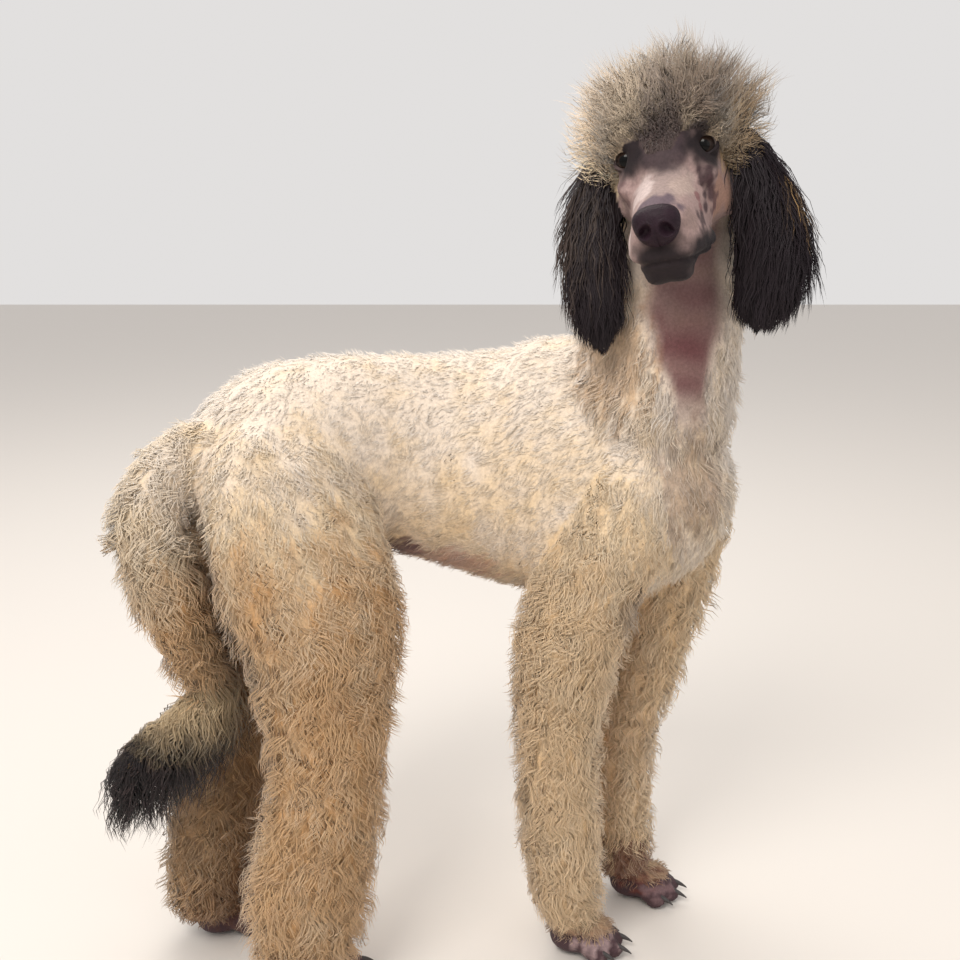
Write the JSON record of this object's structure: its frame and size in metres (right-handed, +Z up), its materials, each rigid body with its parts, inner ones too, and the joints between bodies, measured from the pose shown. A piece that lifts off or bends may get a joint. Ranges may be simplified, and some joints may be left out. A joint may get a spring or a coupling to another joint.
{
  "type": "standard poodle",
  "caption": "Life-size still model of a standing standard poodle with clipped body, fleecy legs, brushed-up topknot and long dark ear hair, head turned to its right",
  "frame": {"origin": "centre of the bounding box on the floor, under the dog", "axes": "+X to the dog's front, +Y to its left side, +Z up"},
  "size_m": [0.6764, 0.3738, 0.9486],
  "materials": {
    "cream_coat": "soft wavy cream fleece, clipped short on the trunk",
    "topknot_hair": "fine brushed-up hair, cream with grey",
    "face_skin": "closely shaved pale pinkish skin with a little fine cream hair",
    "ear_hair": "long wavy black hair",
    "tail_fringe": "wavy hair, cream above and dark grey below",
    "lip_skin": "dark shaved lower lip and chin",
    "nose_leather": "black, finely pebbled and slightly moist",
    "eye": "very dark brown, glossy",
    "paw_skin": "shaved dark purple-grey skin",
    "claw": "black horn, half gloss"
  },
  "bodies": {
    "root": {"chest": "cream_coat", "ear_left": "ear_hair", "ear_right": "ear_hair", "eye_left": "eye", "eye_right": "eye", "fore_left_claw_1": "claw", "fore_left_claw_2": "claw", "fore_left_claw_3": "claw", "fore_left_claw_4": "claw", "fore_left_lower": "cream_coat", "fore_left_paw": "paw_skin", "fore_left_upper": "cream_coat", "fore_right_claw_1": "claw", "fore_right_claw_2": "claw", "fore_right_claw_3": "claw", "fore_right_claw_4": "claw", "fore_right_lower": "cream_coat", "fore_right_paw": "paw_skin", "fore_right_upper": "cream_coat", "head": "face_skin", "hind_left_claw_1": "claw", "hind_left_claw_2": "claw", "hind_left_claw_3": "claw", "hind_left_claw_4": "claw", "hind_left_lower": "cream_coat", "hind_left_paw": "paw_skin", "hind_left_upper": "cream_coat", "hind_right_claw_1": "claw", "hind_right_claw_2": "claw", "hind_right_claw_3": "claw", "hind_right_claw_4": "claw", "hind_right_lower": "cream_coat", "hind_right_paw": "paw_skin", "hind_right_upper": "cream_coat", "jaw": "lip_skin", "loin": "cream_coat", "neck": "cream_coat", "nose": "nose_leather", "rump": "cream_coat", "tail": "cream_coat", "tail_end": "tail_fringe", "topknot": "topknot_hair"}
  },
  "joints": []
}
